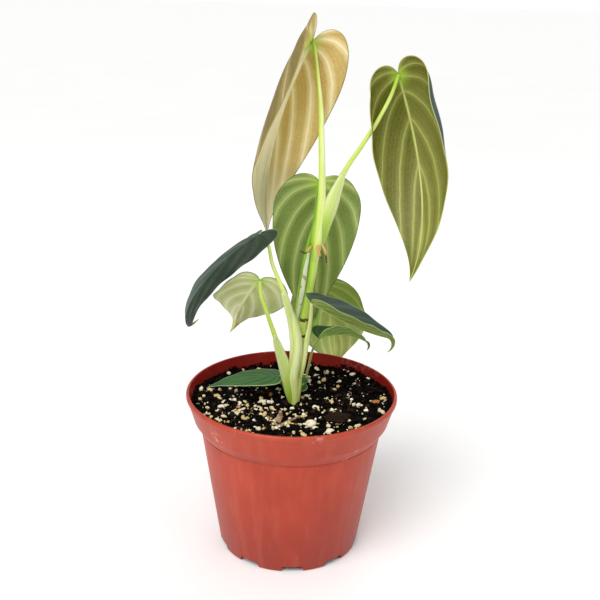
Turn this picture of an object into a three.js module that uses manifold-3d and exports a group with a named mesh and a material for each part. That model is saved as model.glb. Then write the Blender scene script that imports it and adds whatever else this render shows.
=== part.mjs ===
// A potted philodendron: one rooted cutting with ten heart-shaped leaves, growing in potting
// mix in a terracotta-coloured nursery pot, 152 mm across its rim.
// Millimetres, +Z up. The origin is the centre of the pot's foot, on the surface it stands on.
// -Y is the side that the plant is looked at from; the leaves turn their faces away from it.
import * as THREE from 'three';
import { mergeVertices } from 'three/addons/utils/BufferGeometryUtils.js';
import Module from 'manifold-3d';

const wasm = await Module();
wasm.setup();

// ---------------------------------------------------------------- driving dimensions
const GAP = 0.3;                  // clearance between pieces that touch
const POT_HEIGHT = 118.7;
const RIM_RADIUS = 76;            // outer radius of the lip, a 6 inch pot
const BAND_FOOT = 99.5;           // where the rim band starts to turn in to the shoulder
const BAND_RADIUS = 70.5;
const SHOULDER = 92;              // height at which the rim band meets the body
const BODY_RADIUS = 65.4;         // body radius under the shoulder
const FOOT_RADIUS = 51.6;
const WALL = 1.7;
const FLOOR = 2;
const SLOTS = 10;                 // drain slots through the corner of wall and floor
const SLOT_WIDTH = 16;
const SLOT_HEIGHT = 4.3;
const SLOT_DEPTH = 11;            // how far a slot runs into the floor
const SLOT_TURN = 4;              // degrees from -Y to the nearest slot
const SOIL_LEVEL = 106.5;         // potting mix at the middle of the pot
const SIDE_RISE = 6;              // how far the mix climbs towards the left and right wall
const END_RISE = 2.5;             // and towards the front and back wall
const SOIL_TILT = 0.9;            // and how much more it climbs to the right than to the left
const BLADE = 0.8;                // leaf blade thickness
const BLADE_COLUMNS = 8;          // facets across a blade
const BLADE_ROWS = 14;            // facets from the sinus to the tip
const LOBE_SHARE = 0.42;          // share of a leaf's outline that runs round its lobe
const WIDEST = 0.14;              // widest place, as a share of the midrib

// ---------------------------------------------------------------- materials
const finish = (color, roughness, metalness = 0) =>
  new THREE.MeshStandardMaterial({ color, roughness, metalness });
const materials = {
  pot: finish('#b94c39', 0.45),
  soil: finish('#17110d', 0.95),
  green: finish('#a9c65a', 0.45),
  root: finish('#b98a4e', 0.7),
  husk: finish('#8a6a48', 0.8),
  bark: finish('#3a281c', 0.9),
  perlite: finish('#e2d7b4', 0.9),
  tan: finish('#c2a977', 0.5),
  olive: finish('#7b7f48', 0.5),
  leaf: finish('#7c8f55', 0.5),
  pale: finish('#9aa07a', 0.5),
  dark: finish('#3b4f47', 0.6),
  bright: finish('#3f7a4a', 0.5),
};

// ---------------------------------------------------------------- solids and meshes
const model = new THREE.Group();

function solidOf(geometry) {
  geometry.deleteAttribute('normal');
  geometry.deleteAttribute('uv');
  const merged = mergeVertices(geometry, 1e-4);
  const mesh = new wasm.Mesh({
    numProp: 3,
    vertProperties: new Float32Array(merged.attributes.position.array),
    triVerts: new Uint32Array(merged.index.array),
  });
  return new wasm.Manifold(mesh);
}

// Cutting can leave slivers behind, so only the largest body of a cut piece is kept.
function cut(solid, cutters) {
  let result = solid;
  for (const cutter of cutters) {
    result = result.subtract(cutter);
  }
  return result.decompose().reduce((best, body) => (body.volume() > best.volume() ? body : best));
}

function add(name, solid, material) {
  const { vertProperties, triVerts } = solid.getMesh();
  const geometry = new THREE.BufferGeometry();
  geometry.setAttribute('position', new THREE.BufferAttribute(vertProperties, 3));
  geometry.setIndex(new THREE.BufferAttribute(triVerts, 1));
  geometry.computeVertexNormals();
  const mesh = new THREE.Mesh(geometry, material);
  mesh.name = name;
  model.add(mesh);
}

// A stalk: a round section carried along the points [x, y, z, half width] and opened out to the
// half width of each point. "flat" is its depth as a share of its width; the depth runs along Y.
function stalk({ points, flat = 1, sides = 8, steps = 14 }, grow = 0) {
  const curve = new THREE.CatmullRomCurve3(points.map(([x, y, z]) => new THREE.Vector3(x, y, z)));
  const circle = new THREE.Shape();
  circle.absarc(0, 0, 1, 0, 2 * Math.PI);
  const geometry = new THREE.ExtrudeGeometry(circle, {
    steps, extrudePath: curve, bevelEnabled: false, curveSegments: sides / 2,
  });
  const centres = curve.getSpacedPoints(steps);
  const widths = new THREE.CatmullRomCurve3(points.map((p, i) => new THREE.Vector3(i, p[3], 0)));
  const position = geometry.attributes.position;
  const vertex = new THREE.Vector3();
  for (let i = 0; i < position.count; i += 1) {
    vertex.fromBufferAttribute(position, i);
    const ring = nearest(centres, vertex);
    const along = curve.getUtoTmapping(ring / steps);
    const half = widths.getPoint(along).y;
    const tangent = curve.getTangent(along);
    const depth = new THREE.Vector3(0, 1, 0).addScaledVector(tangent, -tangent.y).normalize();
    const side = new THREE.Vector3().crossVectors(tangent, depth);
    const offset = vertex.clone().sub(centres[ring]);
    vertex.copy(centres[ring])
      .addScaledVector(side, offset.dot(side) * (half + grow))
      .addScaledVector(depth, offset.dot(depth) * (half * flat + grow));
    if (ring === 0) vertex.addScaledVector(tangent, -grow);
    if (ring === steps) vertex.addScaledVector(tangent, grow);
    position.setXYZ(i, ...vertex);
  }
  return solidOf(geometry);
}

function nearest(points, vertex) {
  let best = 0;
  points.forEach((point, i) => {
    if (point.distanceToSquared(vertex) < points[best].distanceToSquared(vertex)) best = i;
  });
  return best;
}

// ---------------------------------------------------------------- pot
const profile = (pairs) => pairs.map(([radius, z]) => new THREE.Vector2(radius, z));

function makePot() {
  const inside = (radius) => radius - WALL;
  const shell = new THREE.LatheGeometry(profile([
    [0, 0], [FOOT_RADIUS - 1, 0], [FOOT_RADIUS, 1],
    [BODY_RADIUS, SHOULDER], [BAND_RADIUS, BAND_FOOT],
    [RIM_RADIUS - 1, POT_HEIGHT - 4], [RIM_RADIUS, POT_HEIGHT - 3], [RIM_RADIUS, POT_HEIGHT - 1],
    [RIM_RADIUS - 0.8, POT_HEIGHT], [RIM_RADIUS - 2, POT_HEIGHT],
    [inside(RIM_RADIUS - 1), POT_HEIGHT - 2.5], [inside(BAND_RADIUS), BAND_FOOT],
    [inside(BODY_RADIUS), SHOULDER], [inside(FOOT_RADIUS), FLOOR], [0, FLOOR],
  ]), 60);
  shell.rotateX(Math.PI / 2);
  return cut(solidOf(shell), drainSlots());
}

// Each slot is a wedge-sided opening, wider at the foot, that runs out through the wall.
function drainSlots() {
  const shape = new THREE.Shape(profile([
    [-SLOT_WIDTH / 2 - 0.4, -1], [SLOT_WIDTH / 2 + 0.4, -1],
    [SLOT_WIDTH / 2 - 1, SLOT_HEIGHT], [1 - SLOT_WIDTH / 2, SLOT_HEIGHT],
  ]));
  const slots = [];
  for (let i = 0; i < SLOTS; i += 1) {
    const slot = new THREE.ExtrudeGeometry(shape, { depth: SLOT_DEPTH + 5, bevelEnabled: false });
    slot.rotateX(Math.PI / 2);
    slot.translate(0, SLOT_DEPTH - FOOT_RADIUS, 0);
    slot.rotateZ(THREE.MathUtils.degToRad(SLOT_TURN + (i * 360) / SLOTS));
    slots.push(solidOf(slot));
  }
  return slots;
}

// ---------------------------------------------------------------- stem, petioles and roots
// The short stem and the petioles' sheaths wrap round each other, so each stalk is cut by the
// ones before it in this list.
const stalks = {
  stem: {
    points: [[2, 3, 84, 3], [2, 3, 108, 3.2], [4, 3, 126, 3.1], [7.4, 3, 172, 3], [10, 3, 192, 3],
      [14, 3, 222, 3.2]],
    steps: 16,
  },
  petiole_upper_left: {
    points: [[14.2, 1, 223, 3.2], [15.5, 0, 235, 3.1], [16.8, -1, 255, 2.8], [16.8, -3, 273, 2.4],
      [15.6, -6, 300, 2.1], [14.4, -4, 322, 1.5], [12, -1, 340, 1.2],
      [10, 3.4, 353.4, 1], [8.4, 6, 359.6, 1], [7.2, 7.6, 360.6, 0.9]],
    steps: 20,
  },
  petiole_upper_right: {
    points: [[15, 3, 224, 2.6], [18.5, 2, 241, 4.6], [23, 0, 255, 4.8], [28, -2.5, 271, 2.6],
      [33, -5, 282, 1.7], [41, -8, 295.5, 1.5], [50, -9, 311, 1.4], [59, -3, 327.5, 1.3],
      [64.8, 7, 341.2, 1.1]],
    flat: 0.75,
  },
  petiole_left: {
    points: [[1, -2, 128, 3.4], [2.3, -3, 143, 4], [2.7, -4.4, 155, 3.8], [0.5, -6, 170.5, 3.2],
      [-4, -8, 187.5, 2.2], [-10.4, -8, 203, 1.5], [-15.5, -4.5, 214.5, 1.3],
      [-18, -1.5, 225, 1.2], [-20.3, -6.5, 231, 1.2], [-20.8, -12, 235, 1.1],
      [-23.2, -23.5, 237.4, 1]],
  },
  petiole_lower_left: {
    points: [[-0.5, 1, 112, 2.8], [-3, 0, 126, 3.3], [-6, -1, 138, 3.2], [-10.5, -3, 154, 2.4],
      [-15, -5, 168, 1.6], [-19.2, -7, 181.5, 1.4], [-23, -6.4, 192.4, 1.3], [-24, -4, 201.6, 1.2]],
    flat: 0.8,
  },
  petiole_middle: {
    points: [[4, 8, 166, 1.8], [3.8, 9, 184, 2.2], [6.5, 10, 206, 2.2], [9, 11, 224, 1.6],
      [12.6, 12.5, 238, 1.3], [14.2, 13.5, 252, 1.2], [15.4, 15.4, 267.4, 1.1]],
  },
  petiole_right: {
    points: [[7, 0, 135, 1.9], [9.3, -2, 154, 2], [11, -7, 167, 1.6], [12, -15.4, 182.4, 1.2],
      [12, -22.4, 192.2, 1]],
  },
  petiole_back_right: {
    points: [[6.1, 9, 134, 1.7], [8.8, 15, 143.6, 1.8], [11.6, 23, 150.2, 1.6], [15.1, 32, 157.2, 1.3],
      [18, 40, 166.2, 1.2], [19.2, 46.6, 174.6, 1.1], [19, 53.4, 182, 1]],
  },
  petiole_small_right: {
    points: [[10, 43, 103, 1], [10.6, 41, 112, 1], [12, 37, 121, 1], [13.2, 31, 131, 0.9],
      [15, 22, 142.5, 0.9], [17.6, 12, 151.8, 0.9], [18.8, 5.2, 156.6, 0.8]],
  },
  petiole_small_left: {
    points: [[-3.6, 20, 101, 1.1], [-4.6, 19, 107, 1], [-6.2, 15.5, 114, 0.9], [-8.4, 11, 121.6, 0.9],
      [-9.8, 6.4, 126.3, 0.8]],
    steps: 8,
  },
  petiole_juvenile: {
    points: [[2.6, 9, 103, 0.9], [3.1, 10.5, 111.5, 0.8], [6, 16, 113.6, 0.8], [9, 20.7, 114.3, 0.7]],
    steps: 8,
  },
  // A dried strip of the newest leaf's sheath, still standing against the stem.
  cataphyll_strip: {
    points: [[9.4, 1, 221, 0.9], [7.4, -0.6, 209, 1.5], [5.6, -0.8, 194, 1.6], [3.6, -0.6, 180, 1.1],
      [2.8, 0, 172, 0.5]],
    flat: 0.3,
    steps: 10,
  },
  // Stubs of aerial roots round the upper node.
  aerial_root_1: {
    points: [[11, -1, 226, 1.2], [9.4, -3.6, 225.2, 1.2], [6.8, -5, 222.4, 0.9], [3.8, -6, 224.4, 0.6]],
    sides: 6,
    steps: 8,
  },
  aerial_root_2: {
    points: [[15.2, -1.4, 228, 1.3], [16.2, -4.6, 223.6, 1.3], [17.2, -5.4, 220.8, 0.8],
      [18.2, -6, 219, 0.5]],
    sides: 6,
    steps: 8,
  },
  aerial_root_3: {
    points: [[18, 0, 228, 1.3], [20.4, -2.6, 223.6, 1.3], [21.2, -3.4, 220, 0.8],
      [21.7, -4, 215.6, 0.5]],
    sides: 6,
    steps: 8,
  },
};
const stalkMaterial = (name) => {
  if (name.startsWith('aerial')) return materials.root;
  return name.startsWith('cataphyll') ? materials.husk : materials.green;
};

function makeStalks() {
  const placed = [];
  const made = {};
  for (const [name, spec] of Object.entries(stalks)) {
    made[name] = cut(stalk(spec), placed);
    placed.push(stalk(spec, GAP));
  }
  return { made, placed };
}

// Five feeding roots spread from the stem's buried end; each starts at the stem's foot.
const ROOTS = 5;
const rootSpecs = Array.from({ length: ROOTS }, (_, i) => {
  const turn = (i * 2 * Math.PI) / ROOTS + 0.5;
  const reach = (distance, drop, half) =>
    [2 + distance * Math.cos(turn), 3 + distance * Math.sin(turn), 89 - drop, half];
  return { points: [reach(2, 0, 1.2), reach(14, 5, 1.1), reach(27, 21, 0.9), reach(33, 42, 0.6)],
    sides: 6, steps: 10 };
});

// ---------------------------------------------------------------- what lies on the mix
const twig = { points: [[-12, -32, 107.4, 0.9], [-8, -37, 107.5, 1.2], [-2.6, -32, 108.2, 1.1],
  [6, -24, 109, 0.6]], sides: 6, steps: 8 };
const husk = { points: [[-9, -33.5, 109.6, 2.2], [-7.6, -32.6, 113, 1.9], [-7, -32, 117, 0.8]],
  flat: 0.35, sides: 6, steps: 6 };
// [x, y, z, half length, half width, half height, turn in degrees]
const lumps = {
  perlite_1: [14, -33, 108, 4.2, 3.6, 2.8, 20],
  perlite_2: [27, -47, 109, 3.4, 3, 2.4, 60],
  perlite_3: [17, -40, 108, 2.2, 2, 1.6, 10],
  perlite_4: [17, -5.5, 107.5, 2.4, 2, 1.8, 45],
  bark_1: [34, -26, 108.6, 11, 7, 3.6, 25],
  bark_2: [62, -3, 112, 5, 1.6, 1.2, 15],
};

// A weathered crumb: a faceted ball drawn out to its three half sizes.
function lump([x, y, z, length, width, height, turn], grow = 0) {
  const crumb = new THREE.DodecahedronGeometry(1, 0);
  crumb.scale(length + grow, width + grow, height + grow);
  crumb.rotateZ(THREE.MathUtils.degToRad(turn));
  crumb.translate(x, y, z);
  return solidOf(crumb);
}

// ---------------------------------------------------------------- potting mix
// The mix is dished and lumpy on top: it climbs the wall most at the sides, and crossed waves
// run over it that fade out towards the wall.
function soilHeight(x, y) {
  const relief = Math.sin(x / 5.1 + y / 9) * Math.cos(y / 6.3 - x / 13);
  const calm = Math.max(1 - Math.hypot(x, y) / BAND_RADIUS, 0);
  return SOIL_LEVEL + SIDE_RISE * (x / BAND_RADIUS) ** 2 + END_RISE * (y / BAND_RADIUS) ** 2
    + (SOIL_TILT * x) / BAND_RADIUS + 1.1 * relief * calm;
}

function makeSoil(cutters) {
  const inside = (radius) => radius - WALL - GAP;
  const flare = (RIM_RADIUS - 1 - BAND_RADIUS) / (POT_HEIGHT - 2.5 - BAND_FOOT);
  const edge = inside(BAND_RADIUS) + (SOIL_LEVEL - BAND_FOOT) * flare;
  const wall = [[0, FLOOR + GAP], [inside(FOOT_RADIUS), FLOOR + GAP], [inside(BODY_RADIUS), SHOULDER],
    [inside(BAND_RADIUS), BAND_FOOT + GAP]];
  const surface = [edge, 60, 48, 36, 26, 17, 9, 0].map((radius) => [radius, SOIL_LEVEL]);
  const bed = new THREE.LatheGeometry(profile([...wall, ...surface]), 36);
  bed.rotateX(Math.PI / 2);
  const position = bed.attributes.position;
  for (let i = 0; i < position.count; i += 1) {
    if (position.getZ(i) < SOIL_LEVEL - 0.1) continue;
    const [x, y] = [position.getX(i), position.getY(i)];
    const z = soilHeight(x, y);
    // The rim of the bed follows the wall, which opens out as it climbs.
    const spread = Math.hypot(x, y) > edge - 0.1 ? 1 + ((z - SOIL_LEVEL) * flare) / edge : 1;
    position.setXYZ(i, x * spread, y * spread, z);
  }
  return cut(solidOf(bed), cutters);
}

// ---------------------------------------------------------------- leaf blades
// Each leaf is a flat heart shape laid over a bent midrib. "at" is where the petiole joins it,
// "aim" the way its tip points there and "face" the way its upper side looks. Turns are in
// degrees over the whole midrib: bend lowers the tip away from the upper side, sway steers it
// to one side, twist rolls it. Each half then has [left, right] its own fold at the midrib
// (positive towards the upper side), growing by foldTip towards the tip, and its own curl,
// which rolls the margin and starts late where "late" is high. A hook curls the drip tip.
const leaves = {
  upper_left: { at: [7.2, 8, 360], aim: [-0.44, 0.1, -0.89], face: [0.34, 0.94, -0.06],
    length: 155, width: 66, lobes: [17, 16], bend: -35, sway: -17, twist: 0, lobeBend: -15,
    fold: [-75, -12], foldTip: 2, curl: [-115, 38], late: 2.4, material: materials.tan },
  upper_right: { at: [65, 8, 341.4], aim: [0.35, 0.13, -0.93], face: [0.13, 0.97, 0.2],
    length: 150, width: 72, lobes: [13, 14], bend: 80, sway: 2, twist: 30, lobeBend: 10,
    fold: [-46, -30], foldTip: 30, curl: [-60, -105], late: 3, material: materials.olive },
  middle: { at: [15.4, 16, 267.4], aim: [-0.1, 0.1, -0.99], face: [-0.18, 0.98, 0.12],
    length: 118, width: 64, lobes: [7, 7], bend: -8, sway: -9, twist: 7, lobeBend: -17,
    fold: [-14, -26], foldTip: 4, curl: [0, -3], material: materials.leaf },
  left: { at: [-24, -27, 239.5], aim: [-0.82, -0.35, -0.46], face: [-0.06, -0.75, 0.66],
    length: 130, width: 57, lobes: [14, 6], bend: 110, sway: 8, twist: -22, lobeBend: -6,
    fold: [-90, -55], foldTip: 10, curl: [0, -45], hook: 60, hookFrom: 0.9, material: materials.dark },
  lower_left: { at: [-24, -3, 202], aim: [-0.48, 0.42, -0.77], face: [0.25, 0.91, 0.34],
    length: 83, width: 52, lobes: [4.5, 8], bend: -40, sway: -13, twist: 14, lobeBend: -10,
    fold: [-20, 10], foldTip: 40, curl: [-75, -25], hook: 80, hookFrom: 0.88, material: materials.pale },
  back_right: { at: [19, 54, 182.5], aim: [0.27, 0.47, -0.84], face: [-0.12, 0.9, 0.42],
    length: 108, width: 68, lobes: [11, 9], bend: -9, sway: 11, twist: -20, lobeBend: 5,
    fold: [-18, -24], foldTip: -14, curl: [-55, -35], material: materials.leaf },
  right: { at: [12, -23, 192.8], aim: [0.8, 0.14, -0.59], face: [0.42, 0.57, 0.71],
    length: 78, width: 49, lobes: [4.5, 4], bend: -23, sway: 8, twist: 21, lobeBend: 0,
    fold: [33, -2], foldTip: 34, curl: [-5, -20], hook: 125, hookFrom: 0.84, material: materials.dark },
  small_right: { at: [19, 4, 157], aim: [0.84, 0.42, 0.3], face: [-0.5, 0.34, 0.78],
    length: 43, width: 38, lobes: [1, 2], bend: 78, sway: -30, twist: -26,
    fold: [45, 10], foldTip: -18, curl: [-18, -2], hook: 65, hookFrom: 0.8, material: materials.bright },
  small_left: { at: [-9.8, 6, 126.7], aim: [-1, -0.06, 0.02], face: [0.03, -0.23, 0.97],
    length: 53, width: 22, lobes: [2.4, 2.4], bend: 26, sway: 1, twist: -10,
    fold: [-6, -10], foldTip: 8, curl: [12, -9], material: materials.bright },
  juvenile: { at: [9.2, 21, 114.6], aim: [-1, 0.05, 0.1], face: [0, -0.45, 0.9],
    length: 21, width: 15, lobes: [3, 3], bend: 20, sway: 0, twist: 0,
    fold: [-10, -10], foldTip: 0, curl: [0, 0], material: materials.bright },
};

const bezier = (p, t) =>
  p[0] * (1 - t) ** 3 + 3 * p[1] * (1 - t) ** 2 * t + 3 * p[2] * (1 - t) * t ** 2 + p[3] * t ** 3;

// Half of a heart shape, from the sinus (s = 0) round the lobe and down to the tip (s = 1).
function outline({ length, width }, lobe, s) {
  const widest = WIDEST * length;
  const half = width / 2;
  if (s < LOBE_SHARE) {
    const t = s / LOBE_SHARE;
    return [bezier([0.3, 0.04 * width, half, half], t), bezier([0, -1.42 * lobe, -1.42 * lobe, widest], t)];
  }
  const t = (s - LOBE_SHARE) / (1 - LOBE_SHARE);
  const lower = length - widest;
  return [bezier([half, half, 0.1 * width, 0.3], t),
    bezier([widest, widest + 0.42 * lower, widest + 0.74 * lower, length], t)];
}

// A place on the flat leaf: "across" runs from the midrib (0) to the margin (1) along an arc
// that climbs towards the tip as a side vein does.
function flatPlace(leaf, lobe, s, across) {
  const [edgeX, edgeY] = outline(leaf, lobe, s);
  const midrib = leaf.length * s ** 2.6;
  const middleY = midrib + 0.3 * (edgeY - midrib);
  const rest = 1 - across;
  return [across * rest * edgeX + across ** 2 * edgeX,
    rest ** 2 * midrib + 2 * across * rest * middleY + across ** 2 * edgeY];
}

// The bent midrib as frames { y, point, along, side, up }, from the lobes' far end to the tip.
function midribFrames(leaf, steps = 40) {
  const { bend, sway, twist, lobeBend = 0, hook = 0, hookFrom = 1 } = leaf;
  const radians = THREE.MathUtils.degToRad;
  const along = new THREE.Vector3(...leaf.aim).normalize();
  const up = new THREE.Vector3(...leaf.face);
  up.addScaledVector(along, -up.dot(along)).normalize();
  const side = new THREE.Vector3().crossVectors(along, up);
  const start = { y: 0, point: new THREE.Vector3(...leaf.at), along, side, up };
  const grown = (frame, step, turns) => {
    const next = { y: frame.y + step, point: frame.point.clone(), along: frame.along.clone(),
      side: frame.side.clone(), up: frame.up.clone() };
    for (const [axis, angle] of turns) {
      const about = next[axis].clone();
      for (const arm of ['along', 'side', 'up']) next[arm].applyAxisAngle(about, radians(angle));
    }
    next.point.addScaledVector(next.along, step);
    return next;
  };
  const frames = [start];
  for (let i = 0; i < steps; i += 1) {
    const hooking = (i + 0.5) / steps > hookFrom ? hook / (1 - hookFrom) : 0;
    const turns = [['side', -(bend + hooking) / steps], ['up', sway / steps], ['along', twist / steps]];
    frames.push(grown(frames.at(-1), leaf.length / steps, turns));
  }
  for (let i = 0; i < 10; i += 1) {
    frames.unshift(grown(frames[0], -0.115 * Math.max(...leaf.lobes), [['side', lobeBend / 10]]));
  }
  return frames;
}

function frameAt(frames, y) {
  const last = frames.findIndex((frame) => frame.y >= y);
  const b = frames[Math.max(last, 1)];
  const a = frames[Math.max(last, 1) - 1];
  const t = (y - a.y) / (b.y - a.y);
  const between = (arm) => a[arm].clone().lerp(b[arm], t);
  return { point: between('point'), side: between('side'), up: between('up') };
}

function blade(leaf) {
  const frames = midribFrames(leaf);
  const geometry = new THREE.BoxGeometry(2, 1, BLADE, BLADE_COLUMNS, BLADE_ROWS, 1);
  const position = geometry.attributes.position;
  for (let i = 0; i < position.count; i += 1) {
    const hand = position.getX(i) < 0 ? 0 : 1;
    const sign = hand ? 1 : -1;
    const s = Math.min(Math.max(position.getY(i) + 0.5, 0), 1);
    const [x, y] = flatPlace(leaf, leaf.lobes[hand], s, Math.abs(position.getX(i)));
    const frame = frameAt(frames, Math.min(y, leaf.length));
    const fold = leaf.fold[hand] + leaf.foldTip * Math.min(Math.max(y / leaf.length, 0), 1);
    const slope = (d) => THREE.MathUtils.degToRad(
      fold + leaf.curl[hand] * Math.min(d / (leaf.width / 2), 1) ** (leaf.late ?? 2));
    let [out, rise] = [0, 0];
    for (let k = 0.5; k < 10; k += 1) {
      out += (Math.cos(slope((k / 10) * x)) * x) / 10;
      rise += (Math.sin(slope((k / 10) * x)) * x) / 10;
    }
    const tilt = x > 0.01 ? slope(x) : 0;
    const point = frame.point.addScaledVector(frame.side, sign * out).addScaledVector(frame.up, rise)
      .addScaledVector(frame.up, Math.cos(tilt) * position.getZ(i))
      .addScaledVector(frame.side, -sign * Math.sin(tilt) * position.getZ(i));
    position.setXYZ(i, ...point);
  }
  return solidOf(geometry);
}

// ---------------------------------------------------------------- assembly
const { made, placed } = makeStalks();
const roots = [];
for (const spec of rootSpecs) {
  roots.push(cut(stalk(spec), placed));
  placed.push(stalk(spec, GAP));
}

add('pot', makePot(), materials.pot);
const onSoil = [stalk(twig, GAP), ...Object.values(lumps).map((spec) => lump(spec, GAP))];
add('potting_mix', makeSoil([...placed, ...onSoil]), materials.soil);
for (const [name, solid] of Object.entries(made)) add(name, solid, stalkMaterial(name));
roots.forEach((solid, i) => add(`root_${i + 1}`, solid, materials.root));
for (const [name, leaf] of Object.entries(leaves)) {
  add(`blade_${name}`, cut(blade(leaf), [stalk(stalks[`petiole_${name}`], GAP)]), leaf.material);
}
add('dry_twig', stalk(twig), materials.husk);
add('dry_husk', cut(stalk(husk), [stalk(twig, GAP)]), materials.husk);
for (const [name, spec] of Object.entries(lumps)) {
  add(name, lump(spec), name.startsWith('bark') ? materials.bark : materials.perlite);
}

export default model;
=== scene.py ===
import math
import random

import bmesh
import bpy
import numpy as np
from mathutils import Matrix, Vector, noise


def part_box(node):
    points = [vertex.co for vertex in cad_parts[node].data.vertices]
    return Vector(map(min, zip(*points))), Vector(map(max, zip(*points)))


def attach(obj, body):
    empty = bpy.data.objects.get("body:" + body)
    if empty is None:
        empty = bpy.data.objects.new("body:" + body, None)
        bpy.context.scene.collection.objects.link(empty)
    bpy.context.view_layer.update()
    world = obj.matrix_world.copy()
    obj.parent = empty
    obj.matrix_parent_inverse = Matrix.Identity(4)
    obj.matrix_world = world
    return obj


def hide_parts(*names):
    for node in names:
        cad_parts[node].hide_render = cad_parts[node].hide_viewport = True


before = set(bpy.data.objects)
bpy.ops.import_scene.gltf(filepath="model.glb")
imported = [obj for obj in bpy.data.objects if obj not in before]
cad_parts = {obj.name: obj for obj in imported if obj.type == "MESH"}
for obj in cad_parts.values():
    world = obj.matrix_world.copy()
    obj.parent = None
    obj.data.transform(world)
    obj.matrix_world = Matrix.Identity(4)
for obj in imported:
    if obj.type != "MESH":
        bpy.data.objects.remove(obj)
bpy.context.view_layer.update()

# ------------------------------------------------------------------ studio
# A plain pale floor under white light: a wide soft sun from the front left and above, large
# weak panels on the right, low on the left and behind, and the camera a little above the plant.
MM = 0.001
LOOK_DOWN = math.radians(18.547)
CAMERA_ROLL = math.radians(1.502)
CAMERA_DISTANCE = 629.617 * MM
CAMERA_AIM = Vector((4.224, 0, 187.032)) * MM
FLOOR_HALF = 60       # half the floor's side, in metres

back = Vector((0, -math.cos(LOOK_DOWN), math.sin(LOOK_DOWN)))
level_up = back.cross(Vector((1, 0, 0)))
right = Vector((1, 0, 0)) * math.cos(CAMERA_ROLL) + level_up * math.sin(CAMERA_ROLL)
camera = bpy.data.objects.new("camera", bpy.data.cameras.new("camera"))
camera.data.lens = 54
camera.data.sensor_width = 36
camera.data.clip_start = 0.01
camera.matrix_world = (Matrix.Translation(CAMERA_AIM + back * CAMERA_DISTANCE)
                       @ Matrix((right, back.cross(right), back)).transposed().to_4x4())
bpy.context.scene.collection.objects.link(camera)
bpy.context.scene.camera = camera
bpy.context.scene.view_settings.view_transform = "Standard"


def soft_lamp(name, place, kind, strength, spread):
    """A lamp that looks at the plant: a wide soft sun, or a square panel."""
    lamp = bpy.data.objects.new(name, bpy.data.lights.new(name, kind))
    lamp.data.energy = strength
    if kind == "SUN":
        lamp.data.angle = math.radians(spread)
    else:
        lamp.data.size = spread
    place = Vector(place)
    lamp.matrix_world = (Matrix.Translation(place)
                         @ (place - CAMERA_AIM).to_track_quat("Z", "Y").to_matrix().to_4x4())
    bpy.context.scene.collection.objects.link(lamp)


soft_lamp("key_sun", (-0.45, -0.8, 1.3), "SUN", 2.1, 40)
soft_lamp("right_panel", (0.9, -0.7, 0.7), "AREA", 2.2, 0.8)
soft_lamp("left_panel", (-0.9, -0.7, 0.12), "AREA", 1.6, 0.7)
soft_lamp("back_panel", (0.3, 1.1, 1.0), "AREA", 2, 0.9)
world = bpy.data.worlds.new("white_room")
world.use_nodes = True
bpy.context.scene.world = world


def paint(code):
    """A hex colour as the linear values that sockets take."""
    shares = [int(code[i:i + 2], 16) / 255 for i in (0, 2, 4)]
    return (*(c / 12.92 if c < 0.04045 else ((c + 0.055) / 1.055) ** 2.4 for c in shares), 1)


class Signal:
    """An output socket. Arithmetic on it adds Math nodes, and node() adds any other node."""

    def __init__(self, socket):
        self.socket = socket

    def node(self, kind, settings, inputs, output=0):
        tree = self.socket.id_data
        made = tree.nodes.new("ShaderNode" + kind)
        for key, value in settings.items():
            if key == "stops":
                stops = made.color_ramp.elements
                while len(stops) < len(value):
                    stops.new(1)
                for stop, (position, colour) in zip(stops, value):
                    stop.position, stop.color = position, colour
            else:
                setattr(made, key, value)
        for key, value in inputs.items():
            if isinstance(value, Signal):
                tree.links.new(value.socket, made.inputs[key])
            else:
                made.inputs[key].default_value = value
        return Signal(made.outputs[output])

    def maths(self, operation, *others):
        return self.node("Math", {"operation": operation}, dict(enumerate((self, *others))))

    def __add__(self, other):
        return self.maths("ADD", other)

    def __mul__(self, other):
        return self.maths("MULTIPLY", other)

    def __sub__(self, other):
        return self.maths("SUBTRACT", other)

    def __rsub__(self, other):
        return self.node("Math", {"operation": "SUBTRACT"}, {0: other, 1: self})

    def __truediv__(self, other):
        return self.maths("DIVIDE", other)

    __radd__ = __add__
    __rmul__ = __mul__


# The room is white to look at and lights the plant with a bit over half of that.
room = world.node_tree.nodes["Background"]
room.inputs["Color"].default_value = (1, 1, 1, 1)
seen = Signal(world.node_tree.nodes.new("ShaderNodeLightPath").outputs["Is Camera Ray"])
world.node_tree.links.new((0.58 + 0.42 * seen).socket, room.inputs["Strength"])


def step(value, low, high):
    """0 below low, 1 above high and smooth between; low may be above high."""
    flip = low > high if not isinstance(high, Signal) else False
    ends = {"From Min": high, "From Max": low} if flip else {"From Min": low, "From Max": high}
    return value.node("MapRange", {"interpolation_type": "SMOOTHSTEP"},
                      {"Value": value, **ends, "To Min": float(flip), "To Max": float(not flip)})


def blend(share, first, second):
    """One colour or the other by share."""
    return share.node("Mix", {"data_type": "RGBA"}, {0: share, 6: first, 7: second}, 2)


def grain(place, scale, detail=3, stretch=(1, 1, 1)):
    """Noise from 0 to 1 on a place; a stretch over 1 makes it finer that way."""
    stretched = place.node("Mapping", {}, {"Vector": place, "Scale": stretch})
    return place.node("TexNoise", {}, {"Vector": stretched, "Scale": scale, "Detail": detail})


def finish(name, colour_of, **fixed):
    """A material; colour_of(source) gives its varying sockets, and fixed the constant ones."""
    material = bpy.data.materials.new(name)
    material.use_nodes = True
    tree = material.node_tree
    source = Signal(tree.nodes.new("ShaderNodeTexCoord").outputs["Object"])
    shader = tree.nodes["Principled BSDF"]
    for key, value in fixed.items():
        shader.inputs[key.replace("_", " ")].default_value = value
    for key, value in colour_of(source).items():
        tree.links.new(value.socket, shader.inputs[key])
    return material


def bump(height, strength, depth):
    return height.node("Bump", {}, {"Height": height, "Strength": strength, "Distance": depth})


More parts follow.
